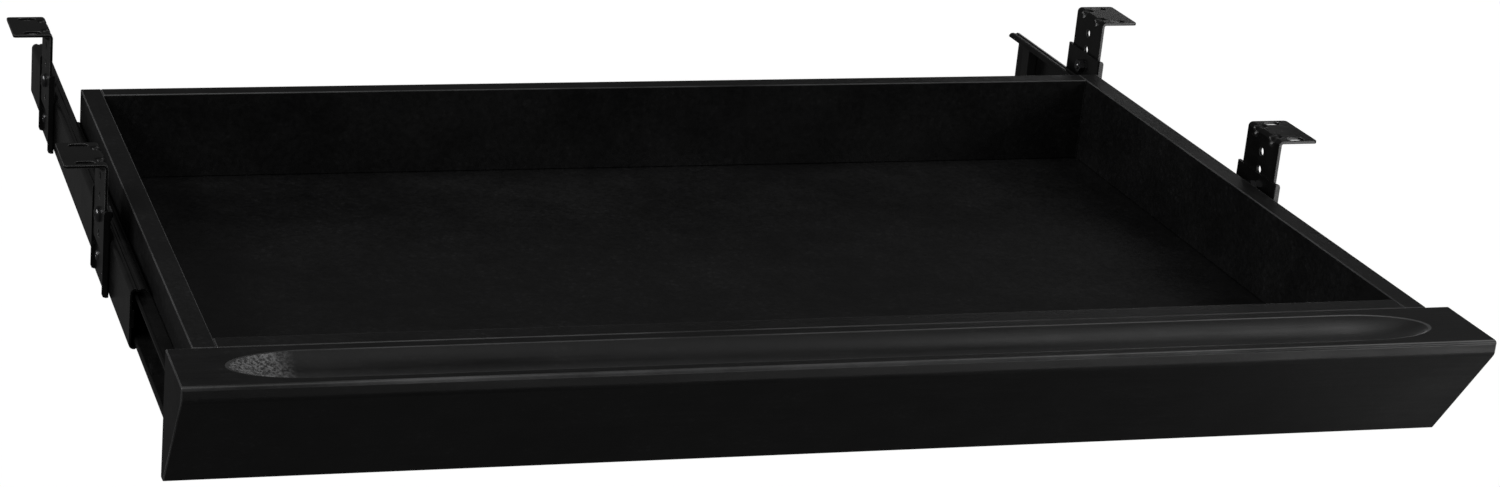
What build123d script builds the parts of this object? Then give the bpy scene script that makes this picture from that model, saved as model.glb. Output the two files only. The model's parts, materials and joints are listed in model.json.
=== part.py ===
from build123d import *
import os

# An under-desk keyboard drawer: a shallow tray box with an angled front block, on two ball-bearing
# slides that hang from four height-adjustable hangers. The origin is the centre of the hangers' slot
# pattern, on the plane of the desk's underside. +Z is up and -Y points at the user. The drawer is
# drawn partly pulled out.

# Tray box
box_width = 684
box_depth = 424
tray_depth = 54.8
board = 12.7
bottom_thickness = 4.8
bottom_lip = 7.4
groove_depth = 5
groove_play = 0.5
board_edge_radius = 0.8
slide_drop = 33
wall_height = tray_depth + bottom_thickness + bottom_lip

# Pencil groove, in the top of the front block
pencil_groove_margin = 27.5
pencil_groove_width = 35
pencil_groove_depth = 7
pencil_groove_taper = 42
pencil_groove_setback = 7.5

# Front block
front_reveal = 0.8
front_drop = 3
foot_depth = 5.5
nose_width = 7.5
nose_radius = 2
nose_band = 6
block_edge_radius = 0.8
front_height = wall_height + front_drop
front_depth = pencil_groove_setback + pencil_groove_width + nose_width

# Slides, from the side of the box outwards
slide_height = 35
slide_behind_box = 26
slide_steel = 1.2
lip_gap = 3.2
channel_corner_radius = 3
channel_lip = 2.6
inner_setback = 2
inner_lip = 1.3
stop_lug_height = 10
ball_diameter = 4
ball_clearance = 0.05
ball_side_clearance = 0.1
balls_per_row = 5
ball_pitch = 15
cage_steel = 0.5
cage_end = 8
cage_gap = 0.4
cage_rim = 0.8
cage_end_play = 0.8
bumper_length = 10
bumper_gap = 0.3
rivet_tail_gap = 0.3
rivet_tail_height = 0.5
slide_length = box_depth + slide_behind_box
cage_length = (balls_per_row - 1) * ball_pitch + 2 * cage_end
ball_out = lip_gap + slide_steel + ball_side_clearance + ball_diameter / 2
inner_width = ball_out + ball_diameter / 2 + ball_side_clearance + slide_steel
cage_outside = inner_width + cage_gap + cage_steel
slide_thickness = cage_outside + rivet_tail_gap + rivet_tail_height + slide_steel
channel_width = slide_thickness - lip_gap
front_width = box_width + 2 * (slide_thickness + front_reveal)
pencil_groove_length = front_width - 2 * pencil_groove_margin

# Travel: the drawer is shut when its block is a small gap from the channels, and fully out when
# the cages are caught between the channels' front lugs and the inner members' rear lugs.
closed_gap = 5
pulled_out = 117
caught_length = cage_length + 2 * (slide_steel + cage_end_play)
full_travel = box_depth - inner_setback - closed_gap - caught_length

# Fasteners
fastener_clearance = 0.1
bolt_radius = 2.4
bolt_head_radius = 4.6
bolt_head_height = 2.8
bolt_tail = 1
bolt_end_chamfer = 0.4
nut_across_flats = 8
nut_thickness = 3.5
rivet_radius = 1.6
rivet_head_radius = 3
rivet_head_height = 1.2
rivet_below_slide = 6
rivet_edge = 10
wood_screw_radius = 1.9
wood_screw_head_radius = 3.8
wood_screw_head_height = 2.2
wood_screw_point = 4
panel_screw_length = 38
panel_screw_inset = 12
front_screw_length = 32
front_screw_count = 4
front_screw_margin = 59.3
slide_screw_radius = 1.7
slide_screw_head_radius = 3.6
slide_screw_head_height = 2.1
slide_screw_cover = 1.9
slide_screw_front_places = (40, 110)
slide_screw_rear_inset = 64
recess_length = 4.2
recess_width = 0.9
recess_depth = 1.1
slide_screw_length = slide_steel + board - slide_screw_cover

# Hangers and brackets
hanger_spacing = 250
hanger_steel = 1.8
hanger_width = 40
flange_reach = 25
hanger_bend_radius = 1
hanger_corner_radius = 2
slot_length = 11
slot_width = 5.5
slot_edge = 5
leg_hole_diameter = 5
leg_hole_drop = 13
leg_hole_pitch = 11.5
leg_hole_count = 4
leg_hole_margin = 7.5
bolted_hole = 3
gusset_edge = 10
gusset_size = 9
gusset_width = 4.4
dent_size = 5
dent_width = 3
bracket_steel = 1.5
bracket_depth = 4
bracket_bend_radius = 0.8
bracket_above_bolt = 10
bolt_above_channel = 6.5
leg_play = 2.5
leg_length = leg_hole_drop + (leg_hole_count - 1) * leg_hole_pitch + leg_hole_margin
bracket_width = hanger_width + 2 * (leg_play + bracket_steel)

# Heights, worked out from the desk's underside down
bolt_z = -(leg_hole_drop + (bolted_hole - 1) * leg_hole_pitch)
slide_z = bolt_z - bolt_above_channel - slide_height / 2
drawer_top = slide_z + slide_drop
bottom_top = drawer_top - tray_depth

# Places along Y
channel_front = -slide_length / 2
block_back = channel_front - closed_gap - pulled_out
box_back = block_back + box_depth
box_middle = block_back + box_depth / 2
inner_front = block_back + inner_setback
inner_length = box_depth - 2 * inner_setback
inner_rear = inner_front + inner_length
push_in = pulled_out
pull_out = full_travel - pulled_out
cage_middle = channel_front + slide_steel + cage_end_play + cage_length / 2 + pull_out / 2

# Places along X, for the right-hand side
box_half = box_width / 2
slide_outside = box_half + slide_thickness
leg_inside = slide_outside + bracket_steel
race_half = slide_height / 2 - slide_steel
ball_up = race_half - ball_clearance - ball_diameter / 2
inner_half = ball_up - ball_diameter / 2 - ball_clearance
slot_reach = leg_inside + flange_reach / 2

inner_span = box_width - 2 * board
sides = (("left", -1), ("right", 1))
ends = (("front", -1), ("rear", 1))

os.makedirs("parts", exist_ok=True)


def save(builder, name):
    builder.part.label = name
    export_step(builder.part, f"parts/{name}.step")


def facing(x, y, z, side):
    """A place whose own Z axis points outwards along X."""
    return Location((x, y, z), (0, 90 * side, 0))


# Front block: rounded nose, slanted face, narrow foot, and a scooped groove for pencils.
block_top_front = block_back - front_depth
block_section = (
    (block_back, drawer_top),
    (block_top_front, drawer_top),
    (block_top_front, drawer_top - nose_radius - nose_band),
    (block_back - foot_depth, drawer_top - front_height),
    (block_back, drawer_top - front_height),
)
groove_half = pencil_groove_width / 2
groove_radius = (groove_half**2 + pencil_groove_depth**2) / (2 * pencil_groove_depth)
groove_y = block_back - pencil_groove_setback - groove_half
groove_axis_z = drawer_top + groove_radius - pencil_groove_depth
groove_straight = pencil_groove_length - 2 * pencil_groove_taper
front_screw_z = drawer_top - front_height / 2
front_screw_spacing = (box_width - 2 * board - 2 * front_screw_margin) / (front_screw_count - 1)
front_screw_hole = wood_screw_radius + fastener_clearance
front_screw_reach = front_screw_length - board

with BuildPart() as groove_end:
    Sphere(groove_radius)
    scale(by=(pencil_groove_taper / groove_half, 1, 1))

with BuildPart() as front_block:
    with BuildSketch(Plane.YZ.offset(-front_width / 2)):
        with BuildLine():
            Polyline(*block_section, close=True)
        make_face()
    extrude(amount=front_width)
    long_edges = front_block.edges().filter_by(Axis.X)
    nose = long_edges.group_by(Axis.Y)[0]
    fillet(nose.sort_by(Axis.Z)[-1], nose_radius)
    fillet(nose.sort_by(Axis.Z)[0], nose_band)
    fillet(front_block.edges().filter_by(Axis.X).group_by(Axis.Z)[0], block_edge_radius)
    with Locations((0, groove_y, groove_axis_z)):
        Cylinder(groove_radius, groove_straight, rotation=(0, 90, 0), mode=Mode.SUBTRACT)
    with Locations(*[(end * groove_straight / 2, groove_y, groove_axis_z) for end in (-1, 1)]):
        add(groove_end.part, mode=Mode.SUBTRACT)
    with Locations(Location((0, block_back, front_screw_z), (-90, 0, 0))):
        with GridLocations(front_screw_spacing, 0, front_screw_count, 1):
            Hole(front_screw_hole, front_screw_reach + fastener_clearance)
save(front_block, "front_block")

# Tray box: side panels run the full depth, the front rail and back panel stand between them, and
# the bottom panel slides in grooves in all four.
groove_z = bottom_top - bottom_thickness / 2
wall_z = drawer_top - wall_height / 2
panel_screw_heights = (drawer_top - panel_screw_inset, bottom_top + panel_screw_inset)
panel_screw_y = (block_back + board / 2, box_back - board / 2)
panel_screw_hole = wood_screw_radius + fastener_clearance
slide_screw_hole = slide_screw_radius + fastener_clearance
slide_screw_last = box_depth - slide_screw_rear_inset
slide_screw_middle = (slide_screw_front_places[-1] + slide_screw_last) / 2
slide_screw_y = [
    block_back + place
    for place in (*slide_screw_front_places, slide_screw_middle, slide_screw_last)
]

for side_name, side in sides:
    with BuildPart() as side_panel:
        with Locations((side * (box_half - board / 2), box_middle, wall_z)):
            Box(board, box_depth, wall_height)
        top_edges = side_panel.edges().filter_by(Axis.Y).group_by(Axis.Z)[-1]
        fillet(top_edges, board_edge_radius)
        with Locations((side * (box_half - board), box_middle, groove_z)):
            Box(2 * groove_depth, box_depth, bottom_thickness, mode=Mode.SUBTRACT)
        with Locations(
            *[facing(side * box_half, y, z, side) for y in panel_screw_y for z in panel_screw_heights]
        ):
            CounterSinkHole(panel_screw_hole, wood_screw_head_radius + fastener_clearance)
        with Locations(*[facing(side * box_half, y, slide_z, side) for y in slide_screw_y]):
            Hole(slide_screw_hole, slide_screw_length - slide_steel + fastener_clearance)
    save(side_panel, f"{side_name}_side_panel")

for wall_name, wall_y, inward in (
    ("front_rail", block_back + board / 2, 1),
    ("back_panel", box_back - board / 2, -1),
):
    with BuildPart() as wall:
        with Locations((0, wall_y, wall_z)):
            Box(inner_span, board, wall_height)
        with Locations((0, wall_y + inward * board / 2, groove_z)):
            Box(inner_span, 2 * groove_depth, bottom_thickness, mode=Mode.SUBTRACT)
        with Locations(
            *[facing(side * inner_span / 2, wall_y, z, side) for _, side in sides for z in panel_screw_heights]
        ):
            Hole(panel_screw_hole, panel_screw_length - board + fastener_clearance)
        if wall_name == "front_rail":
            with Locations(Location((0, block_back + board, front_screw_z), (-90, 0, 0))):
                with GridLocations(front_screw_spacing, 0, front_screw_count, 1):
                    CounterSinkHole(front_screw_hole, wood_screw_head_radius + fastener_clearance)
    save(wall, wall_name)

bottom_overlap = 2 * (groove_depth - groove_play)
with BuildPart() as bottom_panel:
    with Locations((0, box_middle, groove_z)):
        Box(inner_span + bottom_overlap, box_depth - 2 * board + bottom_overlap, bottom_thickness)
save(bottom_panel, "bottom_panel")


def cross_recess():
    """Cut a cross into the top of a screw head whose top is at the local origin."""
    for turn in (0, 90):
        Box(recess_length, recess_width, 2 * recess_depth, rotation=(0, 0, turn), mode=Mode.SUBTRACT)


def flat_head_screw(length):
    """A countersunk wood screw, pointing down, with its head flush with the local origin."""
    with BuildPart() as screw:
        with BuildSketch(Plane.XZ):
            with BuildLine():
                Polyline(
                    (0, 0),
                    (wood_screw_head_radius, 0),
                    (wood_screw_radius, -wood_screw_head_height),
                    (wood_screw_radius, wood_screw_point - length),
                    (0, -length),
                    close=True,
                )
            make_face()
        revolve(axis=Axis.Z)
        cross_recess()
    return screw.part


def pan_head_screw(length):
    """A pan-head screw, pointing down, with the underside of its head at the local origin."""
    with BuildPart() as screw:
        with BuildSketch(Plane.XZ):
            with BuildLine():
                Polyline(
                    (0, slide_screw_head_height),
                    (slide_screw_head_radius, slide_screw_head_height),
                    (slide_screw_head_radius, 0),
                    (slide_screw_radius, 0),
                    (slide_screw_radius, wood_screw_point - length),
                    (0, -length),
                    close=True,
                )
            make_face()
        revolve(axis=Axis.Z)
        head_rim = screw.edges().filter_by(GeomType.CIRCLE).sort_by(Axis.Z)[-1]
        fillet(head_rim, slide_screw_head_height / 2)
        with Locations((0, 0, slide_screw_head_height)):
            cross_recess()
    return screw.part


panel_screw = flat_head_screw(panel_screw_length)
with BuildPart() as panel_screws:
    for _, side in sides:
        with Locations(
            *[facing(side * box_half, y, z, side) for y in panel_screw_y for z in panel_screw_heights]
        ):
            add(panel_screw)
save(panel_screws, "panel_screws")

front_screw = flat_head_screw(front_screw_length)
with BuildPart() as front_screws:
    with Locations(Location((0, block_back + board, front_screw_z), (-90, 0, 0))):
        with GridLocations(front_screw_spacing, 0, front_screw_count, 1):
            add(front_screw)
save(front_screws, "front_screws")

# Slides. Each section is drawn outwards from the side of the box, on the plane of its rear end.
lug_reach = cage_outside - cage_steel
rivet_y_offsets = (rivet_edge - bracket_width / 2, bracket_width / 2 - rivet_edge)
rivet_z = slide_z - rivet_below_slide
hanger_y = {"front": -hanger_spacing / 2, "rear": hanger_spacing / 2}
rivet_places = [(hanger_y[end], offset) for end, _ in ends for offset in rivet_y_offsets]
slide_screw = pan_head_screw(slide_screw_length)

for side_name, side in sides:

    def across(reach):
        return side * (box_half + reach)

    with BuildPart() as outer_channel:
        with BuildSketch(Plane.XZ.offset(-slide_length / 2)):
            middle = across(slide_thickness - channel_width / 2)
            with Locations((middle, slide_z)):
                RectangleRounded(channel_width, slide_height, channel_corner_radius)
                RectangleRounded(
                    channel_width - 2 * slide_steel,
                    slide_height - 2 * slide_steel,
                    channel_corner_radius - slide_steel,
                    mode=Mode.SUBTRACT,
                )
            with Locations((across(lip_gap), slide_z)):
                Rectangle(3 * slide_steel, slide_height - 2 * channel_lip, mode=Mode.SUBTRACT)
        extrude(amount=slide_length)
        lug_depth = slide_thickness - lug_reach - slide_steel / 2
        with Locations(
            (across(lug_reach + lug_depth / 2), channel_front + slide_steel / 2, slide_z)
        ):
            Box(lug_depth, slide_steel, stop_lug_height)
        with Locations(
            *[facing(across(slide_thickness), y + dy, rivet_z, side) for y, dy in rivet_places]
        ):
            Hole(rivet_radius, 2 * slide_steel)
    save(outer_channel, f"{side_name}_outer_channel")

    with BuildPart() as inner_member:
        with BuildSketch(Plane.XZ.offset(-inner_rear)):
            with Locations((across(inner_width / 2), slide_z)):
                Rectangle(inner_width, 2 * inner_half)
            with Locations((across(inner_width - slide_steel / 2), slide_z)):
                Rectangle(slide_steel, 2 * (inner_half + inner_lip))
            with Locations((across(slide_steel + inner_width / 2), slide_z)):
                Rectangle(inner_width, 2 * (inner_half - slide_steel), mode=Mode.SUBTRACT)
        extrude(amount=inner_length)
        bends = inner_member.edges().filter_by(Axis.Y)
        web_bends = bends.group_by(Axis.X)[0 if side > 0 else -1]
        fillet(web_bends, slide_steel / 2)
        lug_depth = lug_reach + cage_steel / 2 - slide_steel / 2
        with Locations(
            (across(slide_steel / 2 + lug_depth / 2), inner_rear - slide_steel / 2, slide_z)
        ):
            Box(lug_depth, slide_steel, stop_lug_height)
        with Locations(*[facing(across(slide_steel), y, slide_z, side) for y in slide_screw_y]):
            Hole(slide_screw_hole, 2 * slide_steel)
    save(inner_member, f"{side_name}_inner_member")

    with BuildPart() as slide_screws:
        with Locations(*[facing(across(slide_steel), y, slide_z, side) for y in slide_screw_y]):
            add(slide_screw)
    save(slide_screws, f"{side_name}_slide_screws")

    ball_rows = [
        Location((across(ball_out), cage_middle, slide_z + up * ball_up)) for up in (-1, 1)
    ]
    cage_inside = ball_out - ball_diameter / 2 - ball_side_clearance - cage_rim
    cage_width = cage_outside - cage_inside
    cage_height = 2 * ball_up + cage_steel
    with BuildPart() as ball_cage:
        with Locations((across(cage_inside + cage_width / 2), cage_middle, slide_z)):
            Box(cage_width, cage_length, cage_height)
        with Locations((across(cage_inside + cage_width / 2 - cage_steel), cage_middle, slide_z)):
            Box(cage_width, cage_length, cage_height - 2 * cage_steel, mode=Mode.SUBTRACT)
        with Locations(*ball_rows):
            with GridLocations(0, ball_pitch, 1, balls_per_row):
                Hole(ball_diameter / 2 + ball_side_clearance, cage_steel)
    save(ball_cage, f"{side_name}_ball_cage")

    with BuildPart() as balls:
        with Locations(*ball_rows):
            with GridLocations(0, ball_pitch, 1, balls_per_row):
                Sphere(ball_diameter / 2)
    save(balls, f"{side_name}_balls")

    bumper_front = inner_rear + push_in + bumper_gap
    bumper_inside = lip_gap + slide_steel
    bumper_width = slide_thickness - slide_steel - bumper_inside
    with BuildPart() as bumper:
        with Locations(
            (across(bumper_inside + bumper_width / 2), bumper_front + bumper_length / 2, slide_z)
        ):
            Box(bumper_width, bumper_length, 2 * race_half)
        fillet(bumper.edges().filter_by(Axis.Y), channel_corner_radius - slide_steel)
    save(bumper, f"{side_name}_bumper")

# Brackets and hangers. A bracket is a U lying on the channel's outside, riveted to its web, and a
# hanger's leg stands between its lips. The leg's row of holes sets how low the drawer hangs.
bracket_top = bolt_z + bracket_above_bolt
bracket_bottom = slide_z - slide_height / 2
bracket_height = bracket_top - bracket_bottom
slot_spacing = hanger_width - 2 * slot_edge
flange_slots_y = (-slot_spacing / 2, slot_spacing / 2)
leg_holes_z = [-(leg_hole_drop + step * leg_hole_pitch) for step in range(leg_hole_count)]
gusset_y = (gusset_edge - hanger_width / 2, hanger_width / 2 - gusset_edge)

for end_name, _ in ends:
    for side_name, side in sides:
        place_y = hanger_y[end_name]

        with BuildPart() as bracket:
            with Locations(
                (side * (slide_outside + bracket_depth / 2), place_y, bracket_top - bracket_height / 2)
            ):
                Box(bracket_depth, bracket_width, bracket_height)
            with Locations(
                (
                    side * (slide_outside + bracket_steel + bracket_depth / 2),
                    place_y,
                    bracket_top - bracket_height / 2,
                )
            ):
                Box(
                    bracket_depth,
                    bracket_width - 2 * bracket_steel,
                    bracket_height,
                    mode=Mode.SUBTRACT,
                )
            bends = bracket.edges().filter_by(Axis.Z).group_by(Axis.X)[0 if side > 0 else -1]
            fillet(bends, bracket_bend_radius)
            lip_corners = bracket.edges().filter_by(Axis.Y).group_by(Axis.X)[-1 if side > 0 else 0]
            chamfer(lip_corners, bracket_depth / 2)
            with Locations(facing(side * slide_outside, place_y, bolt_z, side)):
                Hole(leg_hole_diameter / 2)
            with Locations(
                *[facing(side * slide_outside, place_y + dy, rivet_z, side) for dy in rivet_y_offsets]
            ):
                Hole(rivet_radius)
        save(bracket, f"{end_name}_{side_name}_bracket")

        with BuildPart() as hanger:
            with BuildSketch(Plane.XZ.offset(-(place_y + hanger_width / 2))):
                with BuildLine():
                    Polyline(
                        (side * leg_inside, 0),
                        (side * (leg_inside + flange_reach), 0),
                        (side * (leg_inside + flange_reach), -hanger_steel),
                        (side * (leg_inside + hanger_steel), -hanger_steel),
                        (side * (leg_inside + hanger_steel), -leg_length),
                        (side * leg_inside, -leg_length),
                        close=True,
                    )
                make_face()
            extrude(amount=hanger_width)
            outer_bend = hanger.edges().filter_by(Axis.Y).sort_by_distance((side * leg_inside, place_y, 0))[0]
            fillet(outer_bend, hanger_bend_radius + hanger_steel)
            inner_corner = (side * (leg_inside + hanger_steel), place_y, -hanger_steel)
            inner_bend = hanger.edges().filter_by(Axis.Y).sort_by_distance(inner_corner)[0]
            fillet(inner_bend, hanger_bend_radius)
            leg_corners = hanger.edges().filter_by(Axis.X).group_by(Axis.Z)[0]
            fillet(leg_corners, hanger_corner_radius)
            flange_corners = hanger.edges().filter_by(Axis.Z).group_by(Axis.X)[-1 if side > 0 else 0]
            fillet(flange_corners, hanger_corner_radius)
            for dy in gusset_y:
                with BuildSketch(Plane.XZ.offset(-(place_y + dy + gusset_width / 2))):
                    with BuildLine():
                        Polyline(
                            (side * (leg_inside + hanger_steel / 2), -hanger_steel / 2),
                            (side * (leg_inside + gusset_size), -hanger_steel / 2),
                            (side * (leg_inside + hanger_steel / 2), -gusset_size),
                            close=True,
                        )
                    make_face()
                extrude(amount=gusset_width)
                with BuildSketch(Plane.XZ.offset(-(place_y + dy + dent_width / 2))):
                    with BuildLine():
                        Polyline(
                            (side * leg_inside, 0),
                            (side * (leg_inside + dent_size), 0),
                            (side * leg_inside, -dent_size),
                            close=True,
                        )
                    make_face()
                extrude(amount=dent_width, mode=Mode.SUBTRACT)
            with BuildSketch(Plane.XY):
                with Locations(*[(side * slot_reach, place_y + dy) for dy in flange_slots_y]):
                    SlotOverall(slot_length, slot_width)
            extrude(amount=-hanger_steel, mode=Mode.SUBTRACT)
            with Locations(*[facing(side * leg_inside, place_y, z, side) for z in leg_holes_z]):
                Hole(leg_hole_diameter / 2, 2 * hanger_steel)
        save(hanger, f"{end_name}_{side_name}_hanger")

# Bolts run outwards-in through leg and bracket, with the nut between the bracket and the box.
grip = bracket_steel + hanger_steel
bolt_length = grip + nut_thickness + bolt_tail
with BuildPart() as bolt:
    Cylinder(bolt_head_radius, bolt_head_height, align=(Align.CENTER, Align.CENTER, Align.MIN))
    fillet(bolt.edges().group_by(Axis.Z)[-1], bolt_head_height / 2)
    with Locations((0, 0, -bolt_length)):
        Cylinder(bolt_radius, bolt_length, align=(Align.CENTER, Align.CENTER, Align.MIN))
    chamfer(bolt.edges().group_by(Axis.Z)[0], bolt_end_chamfer)
    with Locations((0, 0, bolt_head_height)):
        cross_recess()

with BuildPart() as nut:
    with BuildSketch():
        RegularPolygon(nut_across_flats / 2, 6, major_radius=False)
    extrude(amount=nut_thickness)
    Hole(bolt_radius + fastener_clearance)

with BuildPart() as rivet:
    Cylinder(rivet_head_radius, rivet_head_height, align=(Align.CENTER, Align.CENTER, Align.MIN))
    fillet(rivet.edges().group_by(Axis.Z)[-1], rivet_head_height / 2)
    with Locations((0, 0, -(bracket_steel + slide_steel))):
        Cylinder(
            rivet_radius - fastener_clearance / 2,
            bracket_steel + slide_steel,
            align=(Align.CENTER, Align.CENTER, Align.MIN),
        )
    with Locations((0, 0, -(bracket_steel + slide_steel + rivet_tail_height))):
        Cylinder(rivet_head_radius, rivet_tail_height, align=(Align.CENTER, Align.CENTER, Align.MIN))

corners = [(side, hanger_y[end_name]) for end_name, _ in ends for _, side in sides]
bolt_seat = leg_inside + hanger_steel
nut_seat = slide_outside - nut_thickness
with BuildPart() as hanger_bolts:
    with Locations(*[facing(side * bolt_seat, y, bolt_z, side) for side, y in corners]):
        add(bolt.part)
save(hanger_bolts, "hanger_bolts")

with BuildPart() as hanger_nuts:
    with Locations(*[facing(side * nut_seat, y, bolt_z, side) for side, y in corners]):
        add(nut.part)
save(hanger_nuts, "hanger_nuts")

with BuildPart() as bracket_rivets:
    with Locations(
        *[facing(side * leg_inside, y + dy, rivet_z, side) for side, y in corners for dy in rivet_y_offsets]
    ):
        add(rivet.part)
save(bracket_rivets, "bracket_rivets")

print("slot pattern", 2 * slot_reach, hanger_spacing + slot_spacing, hanger_spacing - slot_spacing)
print("drawer top", drawer_top, "box from", block_back, "to", box_back)
print("drawer travel", -push_in, "to", pull_out)
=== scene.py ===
import bpy
import bmesh
import json
from math import asin, cos, pi, radians, sin, tan
from mathutils import Matrix, Vector


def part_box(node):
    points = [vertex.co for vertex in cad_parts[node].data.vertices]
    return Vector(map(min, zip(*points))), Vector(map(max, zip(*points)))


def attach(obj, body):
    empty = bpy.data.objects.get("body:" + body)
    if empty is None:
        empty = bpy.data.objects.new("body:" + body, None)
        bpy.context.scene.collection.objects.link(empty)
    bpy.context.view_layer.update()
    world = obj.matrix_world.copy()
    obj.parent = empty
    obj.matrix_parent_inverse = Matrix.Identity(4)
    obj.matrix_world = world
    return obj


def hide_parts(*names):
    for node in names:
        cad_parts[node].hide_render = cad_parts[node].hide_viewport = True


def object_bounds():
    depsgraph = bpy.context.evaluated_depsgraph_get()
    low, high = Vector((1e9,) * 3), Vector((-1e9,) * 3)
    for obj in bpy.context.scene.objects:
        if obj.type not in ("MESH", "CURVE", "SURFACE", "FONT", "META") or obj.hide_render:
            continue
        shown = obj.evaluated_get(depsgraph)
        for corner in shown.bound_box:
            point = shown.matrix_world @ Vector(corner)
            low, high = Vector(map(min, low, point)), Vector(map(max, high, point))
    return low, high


# An under-desk keyboard drawer: a black tray with an angled front, on ball-bearing slides and L hangers
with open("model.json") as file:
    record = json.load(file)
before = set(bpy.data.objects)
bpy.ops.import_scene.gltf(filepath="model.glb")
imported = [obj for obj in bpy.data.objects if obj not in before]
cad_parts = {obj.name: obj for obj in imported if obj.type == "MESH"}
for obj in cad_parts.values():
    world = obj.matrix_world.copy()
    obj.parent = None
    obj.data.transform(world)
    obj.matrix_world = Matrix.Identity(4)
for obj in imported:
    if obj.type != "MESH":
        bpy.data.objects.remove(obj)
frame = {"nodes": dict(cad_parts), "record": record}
cadLow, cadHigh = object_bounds()
nodes = frame["nodes"]
ends = ("front", "rear")
sides = {"left": -1, "right": 1}
mm = 0.001
tiny = 0.00001
drillLength = 20 * mm
scene = bpy.context.scene
scene.view_settings.view_transform = "Standard"
print("frame loaded:", len(nodes), "nodes")


# small helpers used by every piece
def deselectAll():
    if bpy.context.object and bpy.context.object.mode != "OBJECT":
        bpy.ops.object.mode_set(mode="OBJECT")
    bpy.ops.object.select_all(action="DESELECT")


def makeActive(piece):
    deselectAll()
    piece.select_set(True)
    bpy.context.view_layer.objects.active = piece


def applyAll(piece):
    makeActive(piece)
    bpy.ops.object.transform_apply(location=True, rotation=True, scale=True)
    for modifier in list(piece.modifiers):
        bpy.ops.object.modifier_apply(modifier=modifier.name)


def selectWhere(piece, kind, test):
    # leaves the piece in edit mode with only the wanted faces, edges or vertices selected
    makeActive(piece)
    bpy.ops.object.mode_set(mode="EDIT")
    bpy.ops.mesh.select_mode(type=kind)
    bpy.ops.mesh.select_all(action="DESELECT")
    mesh = bmesh.from_edit_mesh(piece.data)
    for item in {"FACE": mesh.faces, "EDGE": mesh.edges, "VERT": mesh.verts}[kind]:
        item.select = test(item)
    mesh.select_flush_mode()
    bmesh.update_edit_mesh(piece.data)


def addCube(name, low, high):
    deselectAll()
    bpy.ops.mesh.primitive_cube_add(size=1, location=(Vector(low) + Vector(high)) / 2)
    piece = bpy.context.object
    piece.name = name
    piece.scale = Vector(high) - Vector(low)
    applyAll(piece)
    return piece


def addCylinder(name, centre, radius, depth, along="Z", vertices=32):
    turn = {"X": (0, pi / 2, 0), "Z": (0, 0, 0)}[along]
    deselectAll()
    bpy.ops.mesh.primitive_cylinder_add(
        vertices=vertices, radius=radius, depth=depth, location=centre, rotation=turn
    )
    piece = bpy.context.object
    piece.name = name
    applyAll(piece)
    return piece


def addBevel(piece, width, segments=2, angle=35, clamp=True):
    # the eased edges take the piece's second material, where it has one, which is painted lighter as a
    # highlight along them
    modifier = piece.modifiers.new("softEdges", "BEVEL")
    modifier.material = 1
    modifier.width = width
    modifier.segments = segments
    modifier.limit_method = "ANGLE"
    modifier.angle_limit = radians(angle)
    modifier.use_clamp_overlap = clamp


def combine(piece, other, operation="DIFFERENCE"):
    applyAll(piece)
    modifier = piece.modifiers.new("cut", "BOOLEAN")
    modifier.operation = operation
    modifier.solver = "EXACT"
    modifier.object = other
    applyAll(piece)
    bpy.data.objects.remove(other)


def drillHole(piece, centre, radius, along="X"):
    combine(piece, addCylinder("drill", centre, radius, drillLength, along))


def joinAll(name, pieces):
    deselectAll()
    for piece in pieces:
        piece.select_set(True)
    bpy.context.view_layer.objects.active = pieces[0]
    bpy.ops.object.join()
    joined = bpy.context.object
    joined.name = name
    return joined


def tidyFaces(piece, angle=0.5):
    # merges what a cut or a fine grid leaves on flat faces
    selectWhere(piece, "VERT", lambda vert: True)
    bpy.ops.mesh.remove_doubles(threshold=tiny / 2)
    bpy.ops.mesh.dissolve_limited(angle_limit=radians(angle))
    bpy.ops.object.mode_set(mode="OBJECT")


def faceOutwards(piece):
    selectWhere(piece, "FACE", lambda face: True)
    bpy.ops.mesh.normals_make_consistent(inside=False)
    bpy.ops.object.mode_set(mode="OBJECT")


def smooth(piece, angle=32):
    applyAll(piece)
    bpy.ops.object.shade_smooth_by_angle(angle=radians(angle))
    weighted = piece.modifiers.new("flatFacesFlat", "WEIGHTED_NORMAL")
    weighted.keep_sharp = True
    applyAll(piece)


def wear(piece, *finishes):
    for finish in finishes:
        piece.data.materials.append(finish)


def finishPiece(piece, body, slotName, *replaced):
    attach(piece, body)
    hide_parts(*replaced)


def copyMoved(model, name, move=(0, 0, 0), mirrored=False):
    makeActive(model)
    bpy.ops.object.duplicate()
    twin = bpy.context.object
    twin.name = name
    twin.location = move
    if mirrored:
        twin.scale.x = -1
    applyAll(twin)
    faceOutwards(twin)
    return twin


def placeCopies(model, name, places, twist=0):
    # places are (point, direction) pairs; the model's own +Z is turned to each direction
    copies = []
    for number, (point, direction) in enumerate(places):
        makeActive(model)
        bpy.ops.object.duplicate()
        twin = bpy.context.object
        aim = Vector(direction).to_track_quat("Z", "Y").to_matrix().to_4x4()
        turn = Matrix.Rotation(radians(twist * number), 4, "Z")
        twin.matrix_world = Matrix.Translation(point) @ aim @ turn
        copies.append(twin)
    bpy.data.objects.remove(model)
    joined = joinAll(name, copies)
    applyAll(joined)
    return joined


def roundedPath(corners, radii, steps=6):
    # every inner corner becomes an arc of its radius
    path = [Vector(corners[0])]
    for before, here, after, radius in zip(corners, corners[1:], corners[2:], radii):
        here = Vector(here)
        into = (here - Vector(before)).normalized()
        out = (Vector(after) - here).normalized()
        turn = into.angle(out)
        start = here - into * radius * tan(turn / 2)
        inside = (out - into * into.dot(out)).normalized()
        centre = start + inside * radius
        for step in range(steps + 1):
            angle = turn * step / steps
            path.append(centre - inside * radius * cos(angle) + into * radius * sin(angle))
    path.append(Vector(corners[-1]))
    return path


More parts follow.
